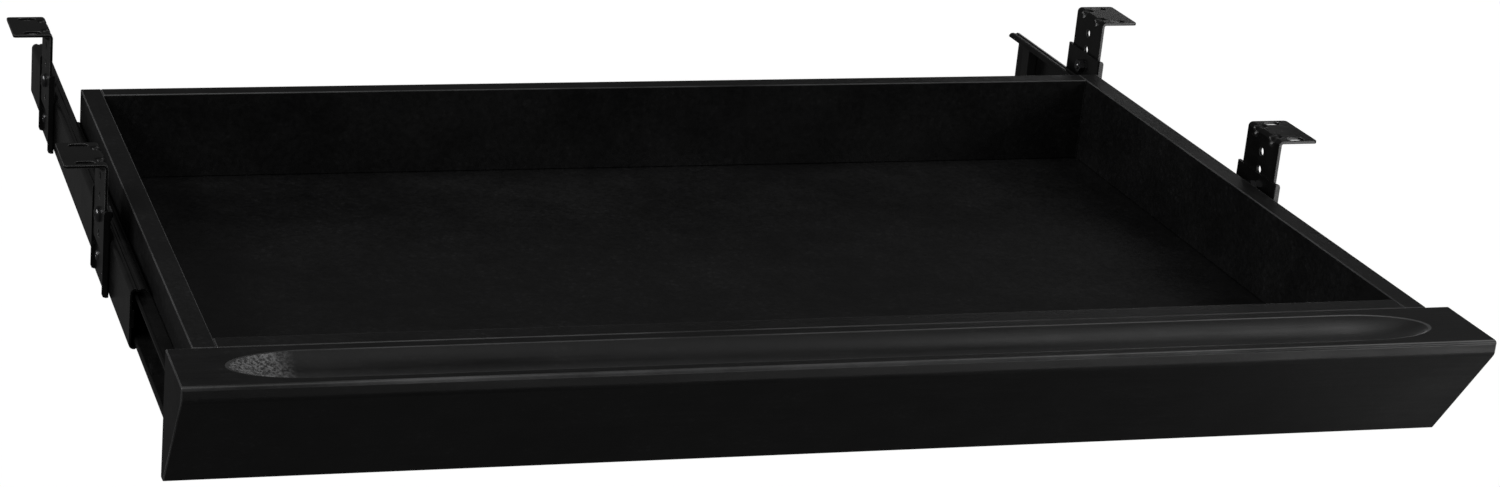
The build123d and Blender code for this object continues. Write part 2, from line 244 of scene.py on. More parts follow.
def foldSheet(name, path, origin, across, up, along, columns=1):
    # a strip of sheet is drawn at the first stretch of the path and extruded on from point to point
    origin, across, up, along = (Vector(each) for each in (origin, across, up, along))
    points = [origin + across * each[0] + up * each[1] for each in path]
    first, second = points[:2]
    deselectAll()
    bpy.ops.mesh.primitive_grid_add(x_subdivisions=columns, y_subdivisions=1, size=1)
    sheet = bpy.context.object
    sheet.name = name
    stretch = second - first
    axes = Matrix((along, stretch, along.cross(stretch).normalized())).transposed()
    sheet.matrix_world = Matrix.Translation((first + second) / 2) @ axes.to_4x4()
    applyAll(sheet)
    ahead = stretch.normalized()
    selectWhere(sheet, "EDGE", lambda edge: all((v.co - second).dot(ahead) > -tiny for v in edge.verts))
    for here, there in zip(points[1:], points[2:]):
        bpy.ops.mesh.extrude_region_move(TRANSFORM_OT_translate={"value": there - here})
    bpy.ops.object.mode_set(mode="OBJECT")
    return sheet


def thicken(sheet, thickness, inwards):
    # the steel grows from the outer skin towards the inside of the fold
    grows = sheet.data.polygons[0].normal.dot(Vector(inwards)) > 0
    modifier = sheet.modifiers.new("steel", "SOLIDIFY")
    modifier.thickness = thickness
    modifier.offset = 1 if grows else -1
    modifier.use_even_offset = True
    applyAll(sheet)
    faceOutwards(sheet)


def turnShape(name, profile, steps=32):
    # profile is (radius, height) pairs from the axis out and back to it; it is spun about Z
    deselectAll()
    bpy.ops.mesh.primitive_plane_add(size=0.001, location=(0, 0, 0))
    piece = bpy.context.object
    piece.name = name
    selectWhere(piece, "VERT", lambda vert: True)
    bpy.ops.mesh.merge(type="CENTER")
    bpy.ops.transform.translate(value=(profile[0][0], 0, profile[0][1]))
    for before, after in zip(profile, profile[1:]):
        step = (after[0] - before[0], 0, after[1] - before[1])
        bpy.ops.mesh.extrude_region_move(TRANSFORM_OT_translate={"value": step})
    bpy.ops.mesh.select_all(action="SELECT")
    bpy.ops.mesh.spin(steps=steps, angle=2 * pi, center=(0, 0, 0), axis=(0, 0, 1))
    bpy.ops.mesh.select_all(action="SELECT")
    bpy.ops.mesh.remove_doubles(threshold=tiny)
    bpy.ops.mesh.normals_make_consistent(inside=False)
    bpy.ops.object.mode_set(mode="OBJECT")
    return piece


# materials
def newMaterial(name):
    material = bpy.data.materials.new(name)
    material.use_nodes = True
    tree = material.node_tree
    coords = tree.nodes.new("ShaderNodeTexCoord")
    return material, tree, tree.nodes["Principled BSDF"], coords.outputs["Object"]


def addNoise(tree, coords, scale, detail=3.0, roughness=0.55, stretch=(1, 1, 1)):
    mapping = tree.nodes.new("ShaderNodeMapping")
    mapping.inputs["Scale"].default_value = stretch
    noise = tree.nodes.new("ShaderNodeTexNoise")
    noise.inputs["Scale"].default_value = scale
    noise.inputs["Detail"].default_value = detail
    noise.inputs["Roughness"].default_value = roughness
    tree.links.new(coords, mapping.inputs["Vector"])
    tree.links.new(mapping.outputs["Vector"], noise.inputs["Vector"])
    return noise.outputs["Fac"]


def addRange(tree, value, low, high, fromLow=0.3, fromHigh=0.7):
    step = tree.nodes.new("ShaderNodeMapRange")
    step.inputs["From Min"].default_value = fromLow
    step.inputs["From Max"].default_value = fromHigh
    step.inputs["To Min"].default_value = low
    step.inputs["To Max"].default_value = high
    tree.links.new(value, step.inputs["Value"])
    return step.outputs["Result"]


def addRamp(tree, value, dark, light, darkAt=0.3, lightAt=0.7):
    ramp = tree.nodes.new("ShaderNodeValToRGB")
    ramp.color_ramp.elements[0].position = darkAt
    ramp.color_ramp.elements[0].color = (*dark, 1)
    ramp.color_ramp.elements[1].position = lightAt
    ramp.color_ramp.elements[1].color = (*light, 1)
    tree.links.new(value, ramp.inputs["Fac"])
    return ramp.outputs["Color"]


def addBumps(tree, shader, layers):
    # layers are (height, strength, distance in metres); each one rides on the one before
    below = None
    for height, strength, distance in layers:
        bump = tree.nodes.new("ShaderNodeBump")
        bump.inputs["Strength"].default_value = strength
        bump.inputs["Distance"].default_value = distance
        tree.links.new(height, bump.inputs["Height"])
        if below:
            tree.links.new(below, bump.inputs["Normal"])
        below = bump.outputs["Normal"]
    tree.links.new(below, shader.inputs["Normal"])


def addSpecks(tree, coords, scale, full, gone):
    # 1 inside scattered small dots, 0 between them
    cells = tree.nodes.new("ShaderNodeTexVoronoi")
    cells.inputs["Scale"].default_value = scale
    tree.links.new(coords, cells.inputs["Vector"])
    return addRange(tree, cells.outputs["Distance"], 1, 0, full, gone)


def addMix(tree, share, under, over):
    mix = tree.nodes.new("ShaderNodeMix")
    mix.data_type = "RGBA"
    tree.links.new(share, mix.inputs["Factor"])
    tree.links.new(under, mix.inputs["A"])
    mix.inputs["B"].default_value = (*over, 1)
    return mix.outputs["Result"]


def addProduct(tree, first, second):
    product = tree.nodes.new("ShaderNodeMath")
    product.operation = "MULTIPLY"
    tree.links.new(first, product.inputs[0])
    tree.links.new(second, product.inputs[1])
    return product.outputs[0]


# noises are (scale, detail, roughness), bumps are (strength, distance in metres), and specks are
# (scale, radius where they are full, radius where they are gone)
laminate = {
    "dark": (0.0030, 0.0030, 0.0031),
    "light": (0.0072, 0.0072, 0.0074),
    "dust": (0.016, 0.016, 0.0165),
    "pebble": (1300, 2.0),
    "mottle": (42, 6.0, 0.65),
    "streaks": (336, 3.0, 0.6),
    "smear": (9, 4.0),
    "specks": (230, 0.17, 0.374),
    "speckPatches": (0.45, 0.7),
    "streakTone": (0.75, 1.25),
    "streakGloss": (0.9, 1.1),
    "roughness": (0.33, 0.53),
    "mottleBump": (0.22, 0.0005),
    "streakBump": (0.3, 0.0001),
    "pebbleBump": (0.35, 0.0001),
}
streakStretch = {
    "blackLaminate": (1, 1, 1),
    "brushedLaminate": (0.06, 1, 1),
    "sheenedGrooveLaminate": (0.06, 1, 1),
}
# painted sheen in the groove: it is painted paler towards the user, with a brighter painted highlight at its
# left end
grooveSheen = {
    "nearReach": (9 * mm, 31 * mm),
    "nearSheenTone": (0.075, 0.075, 0.076),
    "nearSheenShare": (0.6, 1.3),
    "endReach": (49.5 * mm, 63.5 * mm),
    "endHighlightTone": (0.24, 0.24, 0.242),
    "endHighlightShare": (0.1, 1, 0.42, 0.6),
    "grain": (520, 4.0, 0.7),
}


# paints the groove's sheen towards the user and its highlight at the left end, both broken up by grain
def addGrooveSheen(tree, coords, base):
    # the reaches are measured from the block's front and from its left end
    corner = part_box("front_block")[0]
    split = tree.nodes.new("ShaderNodeSeparateXYZ")
    tree.links.new(coords, split.inputs["Vector"])
    grain = addNoise(tree, coords, *grooveSheen["grain"])
    near = addRange(tree, split.outputs["Y"], 1, 0, *(corner.y + reach for reach in grooveSheen["nearReach"]))
    near = addProduct(tree, near, addRange(tree, grain, *grooveSheen["nearSheenShare"]))
    end = addRange(tree, split.outputs["X"], 1, 0, *(corner.x + reach for reach in grooveSheen["endReach"]))
    end = addProduct(tree, end, addRange(tree, grain, *grooveSheen["endHighlightShare"]))
    return addMix(tree, end, addMix(tree, near, base, grooveSheen["nearSheenTone"]), grooveSheen["endHighlightTone"])


def makeLaminate(name):
    # satin black: fine pebble, cloudy patches, a few dust specks; the front block is also faintly streaked
    material, tree, shader, coords = newMaterial(name)
    pebble = addNoise(tree, coords, *laminate["pebble"])
    mottle = addNoise(tree, coords, *laminate["mottle"])
    streaks = addNoise(tree, coords, *laminate["streaks"], streakStretch[name])
    smear = addNoise(tree, coords, *laminate["smear"])
    patches = addRange(tree, mottle, 0, 1, *laminate["speckPatches"])
    specks = addProduct(tree, addSpecks(tree, coords, *laminate["specks"]), patches)
    tone = addProduct(tree, mottle, addRange(tree, streaks, *laminate["streakTone"]))
    base = addMix(tree, specks, addRamp(tree, tone, laminate["dark"], laminate["light"]), laminate["dust"])
    # the groove's laminate also carries the painted sheen and highlight
    if name == "sheenedGrooveLaminate":
        base = addGrooveSheen(tree, coords, base)
    tree.links.new(base, shader.inputs["Base Color"])
    cloudy = addRange(tree, smear, *laminate["roughness"])
    cloudy = addProduct(tree, cloudy, addRange(tree, streaks, *laminate["streakGloss"]))
    tree.links.new(cloudy, shader.inputs["Roughness"])
    layers = ((mottle, "mottleBump"), (streaks, "streakBump"), (pebble, "pebbleBump"))
    addBumps(tree, shader, [(height, *laminate[bump]) for height, bump in layers])
    return material


# painted highlight for the eased edges of the boards and block: a lighter colour than the laminate, broken
# into patches by the wear noise
laminateEdgeHighlight = {
    "dark": (0.03, 0.03, 0.03),
    "light": (0.12, 0.12, 0.122),
    "wear": (14, 5.0, 0.6),
    "roughness": 0.26,
    "pebbleBump": (0.2, 0.0001),
}


def makeLaminateEdgeHighlight():
    # painted highlight: the eased edges are painted lighter, more in some places than in others
    material, tree, shader, coords = newMaterial("laminateEdgeHighlight")
    highlightPatches = addNoise(tree, coords, *laminateEdgeHighlight["wear"])
    pebble = addNoise(tree, coords, *laminate["pebble"])
    base = addRamp(tree, highlightPatches, laminateEdgeHighlight["dark"], laminateEdgeHighlight["light"])
    tree.links.new(base, shader.inputs["Base Color"])
    shader.inputs["Roughness"].default_value = laminateEdgeHighlight["roughness"]
    addBumps(tree, shader, [(pebble, *laminateEdgeHighlight["pebbleBump"])])
    return material


metals = {
    "blackCoatedSteel": {
        "dark": (0.0035, 0.0035, 0.0035),
        "light": (0.009, 0.009, 0.009),
        "roughness": (0.2, 0.32),
        "metallic": 0,
    },
    # painted highlight for the eased steel edges: much lighter than the coated steel they edge
    "steelEdgeHighlight": {
        "dark": (0.05, 0.05, 0.05),
        "light": (0.28, 0.28, 0.28),
        "roughness": (0.16, 0.28),
        "metallic": 0.5,
    },
    "brightSteel": {
        "dark": (0.32, 0.32, 0.33),
        "light": (0.5, 0.5, 0.51),
        "roughness": (0.16, 0.3),
        "metallic": 1,
    },
    "blackOxideSteel": {
        "dark": (0.07, 0.07, 0.072),
        "light": (0.2, 0.2, 0.205),
        "roughness": (0.16, 0.3),
        "metallic": 0.9,
    },
}
metalGrain = {
    "grain": (900, 3.0),
    "patch": (55, 5.0, 0.6),
    "patchBump": (0.06, 0.0003),
    "grainBump": (0.1, 0.00006),
}


def makeMetal(name):
    values = metals[name]
    material, tree, shader, coords = newMaterial(name)
    grain = addNoise(tree, coords, *metalGrain["grain"])
    patch = addNoise(tree, coords, *metalGrain["patch"])
    tree.links.new(addRamp(tree, patch, values["dark"], values["light"]), shader.inputs["Base Color"])
    tree.links.new(addRange(tree, patch, *values["roughness"]), shader.inputs["Roughness"])
    shader.inputs["Metallic"].default_value = values["metallic"]
    addBumps(tree, shader, [(patch, *metalGrain["patchBump"]), (grain, *metalGrain["grainBump"])])
    return material


rubber = {
    "dark": (0.006, 0.006, 0.006),
    "light": (0.012, 0.012, 0.012),
    "grain": (1100, 3.0),
    "roughness": (0.6, 0.78),
    "bump": (0.1, 0.0001),
}


def makeRubber():
    material, tree, shader, coords = newMaterial("blackRubber")
    grain = addNoise(tree, coords, *rubber["grain"])
    tree.links.new(addRamp(tree, grain, rubber["dark"], rubber["light"]), shader.inputs["Base Color"])
    tree.links.new(addRange(tree, grain, *rubber["roughness"]), shader.inputs["Roughness"])
    addBumps(tree, shader, [(grain, *rubber["bump"])])
    return material


laminateMaterial = makeLaminate("blackLaminate")
frontMaterial = makeLaminate("brushedLaminate")
grooveSheenMaterial = makeLaminate("sheenedGrooveLaminate")
laminateEdgeHighlightMaterial = makeLaminateEdgeHighlight()
steelMaterial = makeMetal("blackCoatedSteel")
steelEdgeHighlightMaterial = makeMetal("steelEdgeHighlight")
brightMaterial = makeMetal("brightSteel")
oxideMaterial = makeMetal("blackOxideSteel")
rubberMaterial = makeRubber()
# the balls and their cages are shown as the frame has them, and pieces take the place of all the rest
carriedOver = {"cage_steel": brightMaterial, "ball_steel": brightMaterial}
slotOfNode = {entry["node"]: entry["material_slot"] for entry in frame["record"]["subparts"]}
for name, node in nodes.items():
    node.data.materials.clear()
    node.data.materials.append(carriedOver.get(slotOfNode[name], laminateMaterial))
print("materials made")

# front block: a cube is cut at the nose, its lower front edge is pushed back, and a groove is scooped
frontBlock = {
    "noseRadius": 2 * mm,
    "noseBand": 6 * mm,
    "bandReach": 1.93 * mm,
    "foot": 5.5 * mm,
    "edge": 0.8 * mm,
    "grooveLength": 656 * mm,
    "grooveWidth": 35 * mm,
    "grooveDepth": 7 * mm,
    "grooveTaper": 42 * mm,
    "grooveSetback": 7.5 * mm,
    "rimRadius": 2 * mm,
    "rimLine": 0.2 * mm,
    "rimSteps": 6,
    "bowlSteps": 16,
    "bowlAround": 128,
    "scoopClear": 0.05 * mm,
}


def makeScoop(corner):
    # a bowl with a flared rim is turned, stretched to long ends, and drawn apart along the block
    halfWidth, depth = frontBlock["grooveWidth"] / 2, frontBlock["grooveDepth"]
    rim, clear = frontBlock["rimRadius"], frontBlock["scoopClear"]
    radius = (halfWidth**2 + depth**2) / (2 * depth)
    centreZ = radius - depth
    rimX = ((radius + rim) ** 2 - (centreZ + rim) ** 2) ** 0.5
    slope = asin(rimX / (radius + rim))
    bowl = []
    for step in range(frontBlock["bowlSteps"] + 1):
        angle = slope * step / frontBlock["bowlSteps"]
        bowl.append((radius * sin(angle), centreZ - radius * cos(angle)))
    for step in range(frontBlock["rimSteps"] - 1, 0, -1):
        angle = slope * step / frontBlock["rimSteps"]
        bowl.append((rimX - rim * sin(angle), rim * cos(angle) - rim))
    beyond = bowl[-1][0] + (clear - bowl[-1][1]) / tan(angle)
    bowl += [(beyond, clear), (beyond, rim), (0, rim)]
    scoop = turnShape("scoop", bowl, frontBlock["bowlAround"])
    scoop.scale.x = frontBlock["grooveTaper"] / halfWidth
    scoop.location = (0, corner.y - frontBlock["grooveSetback"] - halfWidth, corner.z)
    applyAll(scoop)
    for side in (-1, 1):
        selectWhere(scoop, "VERT", lambda vert: vert.co.x * side > tiny)
        halfStraight = frontBlock["grooveLength"] / 2 - frontBlock["grooveTaper"]
        bpy.ops.transform.translate(value=(side * halfStraight, 0, 0))
    bpy.ops.object.mode_set(mode="OBJECT")
    wear(scoop, frontMaterial, laminateEdgeHighlightMaterial, grooveSheenMaterial)
    # the rim faces take the painted edge highlight, and the bowl takes the groove laminate with its painted
    # sheen
    for face in scoop.data.polygons:
        face.material_index = 1 if face.center.z > corner.z - frontBlock["rimLine"] else 2
    return scoop


def makeFrontBlock():
    low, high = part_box("front_block")
    block = addCube("drawerFront", low, high)
    wear(block, frontMaterial, laminateEdgeHighlightMaterial, grooveSheenMaterial)
    bandZ = high.z - frontBlock["noseRadius"] - frontBlock["noseBand"]
    selectWhere(block, "FACE", lambda face: True)
    bpy.ops.mesh.bisect(plane_co=(0, 0, bandZ), plane_no=(0, 0, 1))
    selectWhere(block, "VERT", lambda vert: vert.co.y < low.y + tiny and vert.co.z < low.z + tiny)
    bpy.ops.transform.translate(value=(0, high.y - low.y - frontBlock["foot"], 0))
    for edgeZ, reach in ((bandZ, frontBlock["bandReach"]), (high.z, frontBlock["noseRadius"])):
        selectWhere(
            block,
            "EDGE",
            lambda edge: all(abs(v.co.y - low.y) < tiny and abs(v.co.z - edgeZ) < tiny for v in edge.verts),
        )
        # the rounded nose edge takes the painted edge highlight, and the band's lower edge keeps the plain
        # laminate
        bpy.ops.mesh.bevel(offset=reach, segments=6, material=1 if edgeZ == high.z else 0)
    combine(block, makeScoop(high))
    addBevel(block, frontBlock["edge"], 3, 30)
    smooth(block, 20)
    finishPiece(block, "drawer", "laminate_board", "front_block")


makeFrontBlock()
print("front block made")

# tray walls and bottom: boards with eased edges, grooved for the bottom and countersunk for their screws
boards = {
    "edge": 0.7 * mm,
    "bottomEdge": 0.3 * mm,
    "grooveSlack": 0.5 * mm,
    "sinkRadius": 3.9 * mm,
    "sinkDepth": 2.2 * mm,
    "sinkRise": 1 * mm,
    "sinkRun": 0.3 * mm,
    "panelScrewInset": 6.35 * mm,
    "panelScrewHeights": (-39 * mm, -69.8 * mm),
    "frontScrewX": (-270, -90, 90, 270),
    "frontScrewZ": -62 * mm,
}
slideZ = sum(corner.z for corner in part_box("right_outer_channel")) / 2
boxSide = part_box("right_side_panel")[1].x
hangerY = {end: sum(corner.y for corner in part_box(f"{end}_right_hanger")) / 2 for end in ends}
floorLow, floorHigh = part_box("bottom_panel")


def makeSink():
    # a 45 degree cone that starts a little above the board
    radius, depth, rise = boards["sinkRadius"], boards["sinkDepth"], boards["sinkRise"]
    tip = radius - depth + boards["sinkRun"]
    return turnShape("sink", [(0, rise), (radius + rise, rise), (tip, -depth), (0, -depth)], 24)


def panelScrewPlaces():
    low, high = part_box("right_side_panel")
    inset = boards["panelScrewInset"]
    return [
        (Vector((side * high.x, y, z)), (side, 0, 0))
        for side in sides.values()
        for y in (low.y + inset, high.y - inset)
        for z in boards["panelScrewHeights"]
    ]


def frontScrewPlaces():
    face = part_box("front_rail")[1].y
    return [(Vector((x * mm, face, boards["frontScrewZ"])), (0, 1, 0)) for x in boards["frontScrewX"]]


def makeBoard(name, node, sinks=(), edge=boards["edge"], slotName="laminate_board"):
    low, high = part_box(node)
    board = addCube(name, low, high)
    wear(board, laminateMaterial, laminateEdgeHighlightMaterial)
    addBevel(board, edge, 3)
    if node != "bottom_panel":
        combine(board, addCube("floorGroove", floorLow, floorHigh + Vector((0, 0, boards["grooveSlack"]))))
    if sinks:
        combine(board, placeCopies(makeSink(), "sinks", sinks))
    smooth(board, 25)
    finishPiece(board, "drawer", slotName, node)


def makeTray():
    for sideName, side in sides.items():
        sinks = [place for place in panelScrewPlaces() if place[1][0] == side]
        makeBoard(f"{sideName}WallBoard", f"{sideName}_side_panel", sinks)
    makeBoard("frontWallBoard", "front_rail", frontScrewPlaces())
    makeBoard("backWallBoard", "back_panel")
    makeBoard("trayFloorBoard", "bottom_panel", edge=boards["bottomEdge"], slotName="bottom_board")


makeTray()
print("tray made")

# slides: rolled channels with a pressed bead along top and bottom, drawn as folded sheet
outerSlide = {
    "steel": 1.2 * mm,
    "mouth": 3.2,
    "reach": 12.7,
    "halfHeight": 17.5,
    "lip": 2.6,
    "bead": ((7.0, 0), (7.4, 0.45), (8.7, 0.45), (9.1, 0)),
    "radii": (2.4, 0.5, 0.4, 0.4, 0.5, 3.0),
    "lugFrom": 10.2,
    "lugHalfHeight": 5,
    "edge": 0.22 * mm,
}
innerSlide = {
    "steel": 1.2 * mm,
    "lipReach": 8.6,
    "lipHeight": 13.5,
    "halfHeight": 12.2,
    "radii": (0.4, 1.1, 1.1, 0.4),
    "lugTo": 10.45,
    "lugHalfHeight": 5,
    "edge": 0.22 * mm,
}


def scaled(points):
    return [tuple(value * mm for value in point) for point in points]


def rollSlide(name, node, values, half, radii, lugX, lugY):
    # half is the upper half of the outline from its tip down to the middle, and the lower half mirrors it
    low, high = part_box(node)
    corners = [(x, -z) for x, z in half] + half[::-1]
    path = roundedPath(scaled(corners), [radius * mm for radius in radii])
    middle = (boxSide, (low.y + high.y) / 2, slideZ)
    slide = foldSheet(name, path, middle, (1, 0, 0), (0, 0, 1), (0, high.y - low.y, 0))
    thicken(slide, values["steel"], (1, 0, 0))
    halfLug = values["lugHalfHeight"] * mm
    lug = addCube("lug", (lugX[0], lugY[0], slideZ - halfLug), (lugX[1], lugY[1], slideZ + halfLug))
    combine(slide, lug, "UNION")
    wear(slide, steelMaterial, steelEdgeHighlightMaterial)
    addBevel(slide, values["edge"], angle=50)
    smooth(slide)
    return slide


def makeSlides():
    node, values = "right_outer_channel", outerSlide
    low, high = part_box(node)
    top, steel = values["halfHeight"], values["steel"]
    half = [(values["mouth"], top - values["lip"]), (values["mouth"], top)]
    half += [(reach, top - deep) for reach, deep in values["bead"]]
    half.append((values["reach"], top))
    radii = values["radii"] + values["radii"][::-1]
    lugX = (boxSide + values["lugFrom"] * mm, high.x - steel / 2)
    channel = rollSlide("rightOuterSlide", node, values, half, radii, lugX, (low.y, low.y + steel))

    node, values = "right_inner_member", innerSlide
    low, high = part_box(node)
    reach, top, steel = values["lipReach"], values["halfHeight"], values["steel"]
    half = [(reach, values["lipHeight"]), (reach, top), (0, top)]
    lugX = (low.x + steel / 2, boxSide + values["lugTo"] * mm)
    member = rollSlide("rightInnerSlide", node, values, half, values["radii"], lugX, (high.y - steel, high.y))

    for model, name, body, node in (
        (channel, "leftOuterSlide", "mount_frame", "outer_channel"),
        (member, "leftInnerSlide", "drawer", "inner_member"),
    ):
        twin = copyMoved(model, name, mirrored=True)
        smooth(twin)
        finishPiece(model, body, "slide_steel", f"right_{node}")
        finishPiece(twin, body, "slide_steel", f"left_{node}")


makeSlides()
print("slides made")

# rubber bumpers in the rear ends of the channels, with a moulded hollow in the face that the drawer meets
bumper = {"edge": 0.7 * mm, "rim": 1.6 * mm, "hollow": 1.5 * mm}


def makeBumpers():
    low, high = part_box("right_bumper")
    pad = addCube("rightBumperPad", low, high)
    wear(pad, rubberMaterial)
    selectWhere(pad, "FACE", lambda face: face.calc_center_median().y > high.y - tiny)
    bpy.ops.mesh.inset(thickness=bumper["rim"])
    bpy.ops.mesh.extrude_region_move(TRANSFORM_OT_translate={"value": (0, -bumper["hollow"], 0)})
    bpy.ops.object.mode_set(mode="OBJECT")
    addBevel(pad, bumper["edge"], 3)
    smooth(pad)
    twin = copyMoved(pad, "leftBumperPad", mirrored=True)
    smooth(twin)
    for piece, sideName in ((pad, "right"), (twin, "left")):
        finishPiece(piece, "mount_frame", "bumper_rubber", f"{sideName}_bumper")


makeBumpers()
print("bumpers made")

# brackets: a U of steel with cropped lip corners, drilled for the bolt and two rivets
bracket = {
    "steel": 1.5 * mm,
    "width": 48,
    "depth": 4,
    "bend": 1.2,
    "crop": 2 * mm,
    "holeRadius": 2.5 * mm,
    "rivetRadius": 1.6 * mm,
    "rivetOffset": 14 * mm,
    "rivetZ": -66 * mm,
    "boltZ": -36 * mm,
    "edge": 0.25 * mm,
}


def makeBrackets():
    low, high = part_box("front_right_bracket")
    half, depth = bracket["width"] / 2, bracket["depth"]
    corners = scaled([(depth, -half), (0, -half), (0, half), (depth, half)])
    path = roundedPath(corners, [bracket["bend"] * mm] * 2)
    middle = (low.x, hangerY["front"], (low.z + high.z) / 2)
    plate = foldSheet("frontRightBracket", path, middle, (1, 0, 0), (0, 1, 0), (0, 0, high.z - low.z))
    selectWhere(
        plate,
        "VERT",
        lambda v: v.co.x > high.x - tiny and (v.co.z < low.z + tiny or v.co.z > high.z - tiny),
    )
    bpy.ops.mesh.bevel(offset=bracket["crop"], affect="VERTICES", segments=2)
    bpy.ops.object.mode_set(mode="OBJECT")
    thicken(plate, bracket["steel"], (0, 1, 0))
    drillHole(plate, (low.x, hangerY["front"], bracket["boltZ"]), bracket["holeRadius"])
    for offset in (-bracket["rivetOffset"], bracket["rivetOffset"]):
        drillHole(plate, (low.x, hangerY["front"] + offset, bracket["rivetZ"]), bracket["rivetRadius"])
    wear(plate, steelMaterial, steelEdgeHighlightMaterial)
    addBevel(plate, bracket["edge"], angle=50)
    placeAtCorners(plate, "Bracket", "bracket")


def placeAtCorners(model, pieceName, nodeName):
    # the front right one is copied to the other three corners
    smooth(model)
    gap = hangerY["rear"] - hangerY["front"]
    for end in ends:
        for sideName, side in sides.items():
            piece = model
            if (end, sideName) != ("front", "right"):
                move = (0, gap if end == "rear" else 0, 0)
                piece = copyMoved(model, f"{end}{sideName.title()}{pieceName}", move, side < 0)
                smooth(piece)
            finishPiece(piece, "mount_frame", "bracket_steel", f"{end}_{sideName}_{nodeName}")


makeBrackets()
print("brackets made")

# hangers: an L of sheet with two gussets pressed into the bend, slotted flange and a row of leg holes
hanger = {
    "steel": 1.8 * mm,
    "bend": 2.8,
    "fineReach": 10,
    "fineStep": 0.8,
    "columns": 50,
    "gussetOffset": 10 * mm,
    "gussetReach": 6.6 * mm,
    "gussetHalfWidth": 3.8 * mm,
    "corner": 2 * mm,
    "slotRadius": 2.75 * mm,
    "slotStretch": 2.75 * mm,
    "slotX": 12.5 * mm,
    "slotOffset": 15 * mm,
    "holeRadius": 2.5 * mm,
    "holesZ": (-13, -24.5, -36, -47.5),
    "edge": 0.3 * mm,
}


def pressGussets(sheet, corner, middleY):
    # skin near the bend is pushed in towards the straight line across the corner
    makeActive(sheet)
    bpy.ops.object.mode_set(mode="EDIT")
    mesh = bmesh.from_edit_mesh(sheet.data)
    for vert in mesh.verts:
        fromCorner = abs(vert.co.x - corner.x) + abs(vert.co.z - corner.z)
        aside = min(abs(vert.co.y - middleY - side * hanger["gussetOffset"]) for side in (-1, 1))
        if fromCorner < hanger["gussetReach"] and aside < hanger["gussetHalfWidth"]:
            share = 0.5 + 0.5 * cos(pi * aside / hanger["gussetHalfWidth"])
            push = (hanger["gussetReach"] - fromCorner) / 2 * share
            vert.co.x += push
            vert.co.z -= push
    bmesh.update_edit_mesh(sheet.data)
    bpy.ops.object.mode_set(mode="OBJECT")


def makeHangers():
    low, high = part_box("front_right_hanger")
    middleY = hangerY["front"]
    reach, drop = (high.x - low.x) / mm, (high.z - low.z) / mm
    bend, fine = hanger["bend"], hanger["fineReach"]
    steps = int((fine - bend) / hanger["fineStep"])
    fineLine = [bend + (fine - bend) * step / steps for step in range(steps, 0, -1)]
    arc = roundedPath(scaled([(0, -fine), (0, 0), (fine, 0)]), [bend * mm], 8)[1:-1]
    leg = scaled([(0, -drop)] + [(0, -each) for each in fineLine])
    flange = scaled([(each, 0) for each in reversed(fineLine)] + [(reach, 0)])
    path = [Vector(each) for each in leg] + arc + [Vector(each) for each in flange]
    width = high.y - low.y
    plate = foldSheet(
        "frontRightHanger", path, (low.x, middleY, 0), (1, 0, 0), (0, 0, 1), (0, width, 0), hanger["columns"]
    )
    pressGussets(plate, Vector((low.x, 0, 0)), middleY)
    tidyFaces(plate)

    def isEndCorner(vert):
        atEnd = vert.co.z < low.z + tiny or vert.co.x > high.x - tiny
        return atEnd and abs(abs(vert.co.y - middleY) - width / 2) < tiny

    selectWhere(plate, "VERT", isEndCorner)
    bpy.ops.mesh.bevel(offset=hanger["corner"], affect="VERTICES", segments=5, clamp_overlap=False)
    bpy.ops.object.mode_set(mode="OBJECT")
    thicken(plate, hanger["steel"], (1, 0, 0))
    for holeZ in hanger["holesZ"]:
        drillHole(plate, (low.x, middleY, holeZ * mm), hanger["holeRadius"])
    for side in (-1, 1):
        centre = (low.x + hanger["slotX"], middleY + side * hanger["slotOffset"], 0)
        slot = addCylinder("slotCutter", centre, hanger["slotRadius"], drillLength)
        for end in (-1, 1):
            selectWhere(slot, "VERT", lambda v: (v.co.x - centre[0]) * end > tiny)
            bpy.ops.transform.translate(value=(end * hanger["slotStretch"], 0, 0))
        combine(plate, slot)
    tidyFaces(plate, 0.2)
    wear(plate, steelMaterial, steelEdgeHighlightMaterial)
    addBevel(plate, hanger["edge"], angle=60, clamp=False)
    placeAtCorners(plate, "Hanger", "hanger")


makeHangers()
print("hangers made")

# fasteners: each is turned once from its profile, then copied to its places
# the twist turns each copy on from the one before, so that no two recesses line up
crossRecess = {"length": 4.4, "width": 1.0, "depth": 1.2, "above": 1}
bolt = {
    "tail": ((0, -7.8), (2.0, -7.8)),
    "thread": (-7.4, -3.3),
    "head": (
        (2.4, -3.3), (2.4, 0), (4.6, 0), (4.6, 0.9), (4.4, 1.6),
        (3.8, 2.25), (2.8, 2.65), (1.5, 2.8), (0, 2.8),
    ),
    "radius": 2.4,
    "pitch": 0.8,
    "threadDepth": 0.22,
    "seatX": 358.0,
    "twist": 37,
}
nut = {
    "radius": 4.62,
    "thickness": 3.5,
    "chamfer": ((4.0, 0), (4.75, 0.5)),
    "boreRadius": 2.5,
    "seatX": 351.2,
    "twist": 11,
}
rivet = {
    "profile": (
        (0, -3.2), (2.6, -3.2), (3.0, -3.0), (3.0, -2.7), (1.55, -2.7), (1.55, 0), (3.0, 0), (3.0, 0.3),
        (2.75, 0.75), (2.1, 1.08), (1.2, 1.2), (1.0, 0.95), (0, 0.95),
    ),
    "seatX": 356.2,
}
slideScrew = {
    "head": ((1.7, 0), (3.6, 0), (3.6, 0.6), (3.35, 1.25), (2.6, 1.8), (1.3, 2.1), (0, 2.1)),
    "radius": 1.7,
    "pitch": 1.4,
    "point": 3,
    "threadTop": -1,
    "length": 12,
    "offsets": (40, 110, 235, 360),
    "twist": 29,
}
